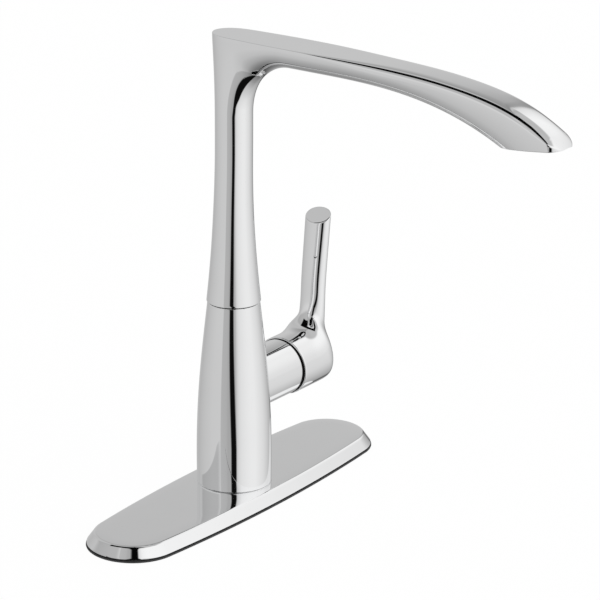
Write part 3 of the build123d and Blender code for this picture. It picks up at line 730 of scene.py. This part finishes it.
def elbow_sections(angle):
    """Sections of the elbow, fanned from the hub's level axis to upright between an inner and an outer
    squared-off quarter oval, while the width eases from the hub's to the lever's."""
    angle = angle[:, None]
    inner_along = lever_reach - waist_depth - elbow_reach
    outer_along = lever_reach + waist_depth - elbow_reach
    near = corner_distance(angle, elbow_rise - hub_radius, inner_along, elbow_inner_power)
    far = corner_distance(angle, elbow_rise + hub_radius, outer_along, elbow_outer_power)
    out = (near + far) / 2 + (far - near) / 2 * np.sin(around)
    half = hub_radius + (waist_width - hub_radius) * ease(np.degrees(angle), *elbow_narrowing)
    along, level = elbow_reach + out * np.sin(angle), boss_axis + elbow_rise - out * np.cos(angle)
    return np.stack([along, half * np.cos(around), level], axis=-1)


def lever_at(height):
    """Points round the lever at given heights: an oval whose depth and width change evenly to the tip."""
    share = (height - boss_axis - elbow_rise) / (tip_height - boss_axis - elbow_rise)
    deep = waist_depth + (tip_depth - waist_depth) * share
    wide = waist_width + (tip_width - waist_width) * share
    along, across = lever_reach + deep * np.sin(around), wide * np.cos(around)
    return np.stack([along, across, height + 0 * around], axis=-1)


def hub_mouth(place):
    """True on the hub's slanted rim and in the hollow behind it."""
    level = place[:, 2] - boss_axis
    radius = np.hypot(place[:, 1], level)
    rim = place[:, 0] + hub_slant * level < hub_rim + rim_margin
    rim &= radius < hub_radius - hub_round - rim_edge_margin
    hollow = (radius < hub_bore + hub_chamfer + cavity_margin) & (place[:, 0] < hub_cavity + rim_margin)
    return rim | hollow


turn_height = boss_axis + elbow_rise
rim_turn = np.radians(np.linspace(0, 90, 6))
rim_corner = np.stack([
    hub_round * (1 - np.cos(rim_turn)), hub_radius - hub_round * (1 - np.sin(rim_turn))], axis=-1)
hub_profile = np.concatenate([[[hub_chamfer, hub_bore], [0, hub_bore + hub_chamfer]], rim_corner])
hub_front = hub_rows(hub_profile)
cavity_floor = hub_rows(np.array([[0.0, 0.0], [0.0, hub_bore]]))
cavity_floor[..., 0] = hub_cavity
hub_share = np.linspace(0, 1, hub_rings)[1:, None, None]
hub_side = hub_front[-1] + hub_share * (elbow_sections(np.zeros(1))[0] - hub_front[-1])
elbow = elbow_sections(np.linspace(0, np.pi / 2, elbow_rows)[1:])
facet_reach = lever_reach + lever_lean * (facet_height - turn_height)
facet_point = np.array([facet_reach, 0, facet_height])
facet_normal = np.array([-np.sin(facet_tilt), 0, np.cos(facet_tilt)])
low_gap = (lean_over(lever_at(facet_height - facet_below)) - facet_point) @ facet_normal
high_gap = (lean_over(lever_at(facet_height + facet_above)) - facet_point) @ facet_normal
facet_edge_height = facet_height - facet_below + (facet_below + facet_above) * low_gap / (low_gap - high_gap)
climb_share = np.linspace(0, 1, lever_rings)[1:, None]
lever_sides = lever_at(turn_height + climb_share * (facet_edge_height - facet_round - turn_height))
facet_corner = lean_over(lever_at(facet_edge_height))
facet_middle = facet_corner.mean(axis=0)
facet_inward = facet_middle - facet_corner
facet_inner = facet_corner + facet_round * facet_inward / np.linalg.norm(facet_inward, axis=-1)[:, None]
facet_share = np.linspace(0, 1, 7)[1:, None, None]
facet_curve = corner_curve(lean_over(lever_sides[-1]), facet_corner, facet_inner, facet_share)
facet_flat = facet_inner + facet_share * (facet_middle - facet_inner)
handle = skin("chrome_handle", np.concatenate([
    cavity_floor, hub_front, hub_side, lean_over(elbow), lean_over(lever_sides), facet_curve, facet_flat]))
handle.data.materials.append(chrome)
# The hub's slanted rim face and the hollow behind it are painted black: painted shade of the narrow gap
# between hub and boss.
paint_shade_black(handle, hub_mouth)
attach(handle, "handle")
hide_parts("handle")


# Handle fixing: a stainless grub screw under the hub that bites on the stem, and a small grey
# plug pressed in over it.
plug_low, plug_high = (np.array(corner) * mm_per_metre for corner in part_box("handle_plug"))
plug_reach = (plug_low[0] + plug_high[0]) / 2
plug_radius = (plug_high[0] - plug_low[0]) / 2


def plug_cap():
    """Domed cap laid on the hub's underside: rings about an upright axis, whose height out from the round
    hub falls from the middle of the dome to a narrow groove at its edge and ends just inside the hub.
    Each row is a ring's share of the plug's radius and how far it stands out of the hub."""
    rows = ((0.0, 0.30), (0.35, 0.28), (0.65, 0.24), (0.85, 0.17), (0.95, 0.08), (1.0, -0.03), (1.0, -0.6))
    size, proud = np.array(rows).T[..., None]
    along, across = plug_radius * size * np.cos(around), plug_radius * size * np.sin(around)
    level = boss_axis - np.sqrt(hub_radius ** 2 - across ** 2) - proud
    return np.stack([plug_reach + along, across, level], axis=-1)


plug_plastic = finish(
    "plug_plastic", (0.64, 0.64, 0.65, 1), (0.54, 0.54, 0.56, 1),
    grain=(900, 900, 900), smooth=0.3, worn=0.45, bump=0.08)
dress(screw_steel, "handle_set_screw")
plug = skin("handle_plug_cap", plug_cap())
plug.data.materials.append(plug_plastic)
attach(plug, "handle")
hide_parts("handle_plug")


# Floor: the plain pale surface the faucet stands on, as wide as the studio. It shows white to the
# camera and keeps a soft shadow where the plate meets it.
floor_size = 3.0
floor_drop = -0.0003
floor_tone = (0.9, 0.9, 0.9, 1)
floor_white = 1.04
floor_white_share = 0.93

floor_corners = [
    (x * floor_size, y * floor_size, floor_drop) for x, y in ((-1, -1), (1, -1), (1, 1), (-1, 1))]
floor_mesh = bpy.data.meshes.new("studio_floor")
floor_mesh.from_pydata(floor_corners, [], [(0, 1, 2, 3)])
floor = bpy.data.objects.new("studio_floor", floor_mesh)
bpy.context.scene.collection.objects.link(floor)
floor_paint = bpy.data.materials.new("pale_floor")
floor_paint.use_nodes = True
nodes, link = floor_paint.node_tree.nodes, floor_paint.node_tree.links.new
nodes.remove(nodes["Principled BSDF"])
lit, glow = nodes.new("ShaderNodeBsdfDiffuse"), nodes.new("ShaderNodeEmission")
blend, path = nodes.new("ShaderNodeMixShader"), nodes.new("ShaderNodeLightPath")
part = nodes.new("ShaderNodeMath")
lit.inputs["Color"].default_value = floor_tone
glow.inputs["Color"].default_value = (1, 1, 1, 1)
glow.inputs["Strength"].default_value = floor_white
part.operation = "MULTIPLY"
part.inputs[1].default_value = floor_white_share
link(path.outputs["Is Camera Ray"], part.inputs[0])
link(part.outputs[0], blend.inputs[0])
link(lit.outputs[0], blend.inputs[1])
link(glow.outputs[0], blend.inputs[2])
link(blend.outputs[0], nodes["Material Output"].inputs["Surface"])
floor.data.materials.append(floor_paint)
floor.visible_glossy = False


# Studio light: a tent of soft panels all round, grey on the left and behind, bright on the right, with
# a narrow dark gap in front and another overhead. The camera sees plain white. A direction is given by
# its bearing in degrees from the camera's side, to the right, and by its rise, from -1 below to 1 above.
facing = (-0.8096, -0.5870)
right_hand = (0.5882, -0.8087)
left_tones = (
    (-180, 0.56), (-155, 0.52), (-140, 0.47), (-118, 0.52), (-98, 0.56), (-70, 0.60), (-42, 0.61),
    (-40, 0.46), (-24, 0.44), (-16, 0.39), (7, 0.45), (11, 0.61), (17, 0.72))
low_tones = left_tones + (
    (25, 0.78), (40, 0.83), (55, 0.86), (70, 0.86), (86, 0.80), (102, 0.74), (112, 0.68), (123, 0.61),
    (135, 0.52), (146, 0.45), (154, 0.38), (158, 0.14), (163, 0.14), (167, 0.47), (172, 0.56), (180, 0.56))
high_tones = left_tones + (
    (25, 0.86), (40, 0.91), (70, 0.91), (98, 0.90), (112, 0.86), (125, 0.84), (145, 0.90), (157, 0.88),
    (159, 0.42), (161, 0.42), (163, 0.53), (172, 0.56), (180, 0.56))
high_from, high_to = 0.05, 0.60
back_from, back_to = 145.0, 165.0
back_tones = (
    (-1.0, 0.4), (-0.75, 0.55), (-0.5, 0.78), (-0.33, 1.0), (0.0, 1.0), (0.156, 1.0), (0.33, 0.93),
    (0.485, 0.81), (0.707, 0.66), (1.0, 0.5))
floor_tones = (
    (-1.0, 0.25), (-0.94, 0.35), (-0.82, 0.66), (-0.64, 0.90), (-0.42, 1.0), (-0.05, 1.0), (0.05, 1.06),
    (1.0, 1.06))
left_window = (-110.0, -52.0, 14.0)
left_rise_tones = (
    (-1.0, 1.0), (-0.2, 1.0), (0.1, 1.05), (0.22, 1.04), (0.36, 0.74), (0.7, 0.74), (1.0, 0.74))
ceiling_from, ceiling_to = 0.72, 0.82
ceiling_window = (30.0, 152.0, 8.0)
ceiling_share = 0.55
gap_drift, gap_start, gap_most = 36.0, -11.8, 0.5
gap_half_width, gap_soft_from, gap_soft_to = 8.0, -2.0, 2.5
gap_low_from, gap_low_to, gap_low_growth = -0.40, -0.62, 10.0
gap_waist, gap_waist_growth = (0.66, 0.78, 0.05), -6.0
gap_high_from, gap_high_to, gap_high_growth = 0.82, 0.90, 12.0
gap_tone = 0.004
overhead_across, overhead_along = (-0.58, -0.09, 0.05), (-0.50, 0.50, 0.04)
overhead_from, overhead_to = 0.5, 0.6
overhead_tone = 0.002
panel_blue = 1.005

world = bpy.data.worlds.new("studio")
bpy.context.scene.world = world
world.use_nodes = True
nodes, link = world.node_tree.nodes, world.node_tree.links.new


def sum_of(operation, *values):
    """One maths node on numbers or sockets, giving its result socket."""
    node = nodes.new("ShaderNodeMath")
    node.operation = operation
    for socket, value in zip(node.inputs, values):
        if isinstance(value, (int, float)):
            socket.default_value = value
        else:
            link(value, socket)
    return node.outputs[0]


def times(*values):
    """The product of two or more numbers or sockets."""
    product = values[0]
    for value in values[1:]:
        product = sum_of("MULTIPLY", product, value)
    return product


def ramp_between(value, start, end):
    """A soft mask: 0 before start, 1 beyond end."""
    node = nodes.new("ShaderNodeMapRange")
    node.interpolation_type = "SMOOTHSTEP"
    node.inputs["From Min"].default_value = start
    node.inputs["From Max"].default_value = end
    link(value, node.inputs["Value"])
    return node.outputs["Result"]


def between(value, start, end, soft):
    """A soft window: 1 from start to end, fading to 0 over a width at either side."""
    past = ramp_between(value, end, end + soft)
    return times(ramp_between(value, start - soft, start), sum_of("SUBTRACT", 1.0, past))


def mix_tone(mask, below, above):
    """Goes from one brightness to another by a mask."""
    return sum_of("ADD", times(mask, above), times(sum_of("SUBTRACT", 1.0, mask), below))


def tone_along(value, stops):
    """A row of tones along a value, with straight changes from stop to stop."""
    low, high = float(stops[0][0]), float(stops[-1][0])
    ramp = nodes.new("ShaderNodeValToRGB")
    while len(ramp.color_ramp.elements) < len(stops):
        ramp.color_ramp.elements.new(0.5)
    for stop, (place, tone) in zip(ramp.color_ramp.elements, stops):
        stop.position = (place - low) / (high - low)
        stop.color = (tone, tone, tone * panel_blue, 1)
    link(sum_of("DIVIDE", sum_of("SUBTRACT", value, low), high - low), ramp.inputs["Fac"])
    return ramp.outputs["Color"]


split = nodes.new("ShaderNodeSeparateXYZ")
link(nodes.new("ShaderNodeTexCoord").outputs["Generated"], split.inputs[0])
east, north, rise = split.outputs
ahead = sum_of("ADD", times(east, facing[0]), times(north, facing[1]))
rightward = sum_of("ADD", times(east, right_hand[0]), times(north, right_hand[1]))
bearing_deg = sum_of("DEGREES", sum_of("ARCTAN2", rightward, ahead))

high_up = ramp_between(rise, high_from, high_to)
behind = ramp_between(sum_of("ABSOLUTE", bearing_deg), back_from, back_to)
leftward = between(bearing_deg, *left_window)
ceiling_right = times(ramp_between(rise, ceiling_from, ceiling_to), between(bearing_deg, *ceiling_window))
panels = times(
    mix_tone(high_up, tone_along(bearing_deg, low_tones), tone_along(bearing_deg, high_tones)),
    tone_along(rise, floor_tones),
    mix_tone(behind, 1.0, tone_along(rise, back_tones)),
    mix_tone(leftward, 1.0, tone_along(rise, left_rise_tones)),
    mix_tone(ceiling_right, 1.0, ceiling_share))

gap_line = sum_of("MULTIPLY_ADD", sum_of("ABSOLUTE", rise), gap_drift, gap_start)
gap_middle = sum_of("MINIMUM", gap_line, gap_most)
gap_half = sum_of("MULTIPLY_ADD", between(rise, *gap_waist), gap_waist_growth, gap_half_width)
gap_half = sum_of("MULTIPLY_ADD", ramp_between(rise, gap_low_from, gap_low_to), gap_low_growth, gap_half)
gap_half = sum_of("MULTIPLY_ADD", ramp_between(rise, gap_high_from, gap_high_to), gap_high_growth, gap_half)
gap_edge = sum_of("SUBTRACT", sum_of("ABSOLUTE", sum_of("SUBTRACT", bearing_deg, gap_middle)), gap_half)
tone = mix_tone(ramp_between(gap_edge, gap_soft_from, gap_soft_to), gap_tone, panels)
overhead = times(
    between(east, *overhead_across), between(north, *overhead_along),
    ramp_between(rise, overhead_from, overhead_to))
tone = mix_tone(overhead, tone, overhead_tone)
tone = mix_tone(nodes.new("ShaderNodeLightPath").outputs["Is Camera Ray"], tone, 1.0)
link(tone, nodes["Background"].inputs["Color"])


# Camera: a long lens, as far off as the picture's nearly parallel edges ask for, to the left of
# the spout and a little above it.
film_width = 36
focal_length = 180.06
farthest_seen = 50
camera_right = np.array([0.58822028, -0.80868895, 0.00436838])
camera_up = np.array([0.26445929, 0.19746024, 0.94396543])
camera_ahead = np.array([0.764237, 0.55410435, -0.33001542])
camera_solved = np.array([-1388.893, -1057.928, 738.261])
shift_right, shift_up = -0.40, 0.25

camera = bpy.data.cameras.new("camera")
camera.sensor_width = film_width
camera.lens = focal_length
camera.clip_end = farthest_seen
camera_place = (camera_solved + shift_right * camera_right + shift_up * camera_up) / mm_per_metre
stance = np.eye(4)
stance[:3] = np.stack([camera_right, camera_up, -camera_ahead, camera_place], axis=-1)
camera_rig = bpy.data.objects.new("camera", camera)
camera_rig.matrix_world = Matrix(stance.tolist())
bpy.context.scene.collection.objects.link(camera_rig)
bpy.context.scene.camera = camera_rig
bpy.context.scene.view_settings.view_transform = "Standard"
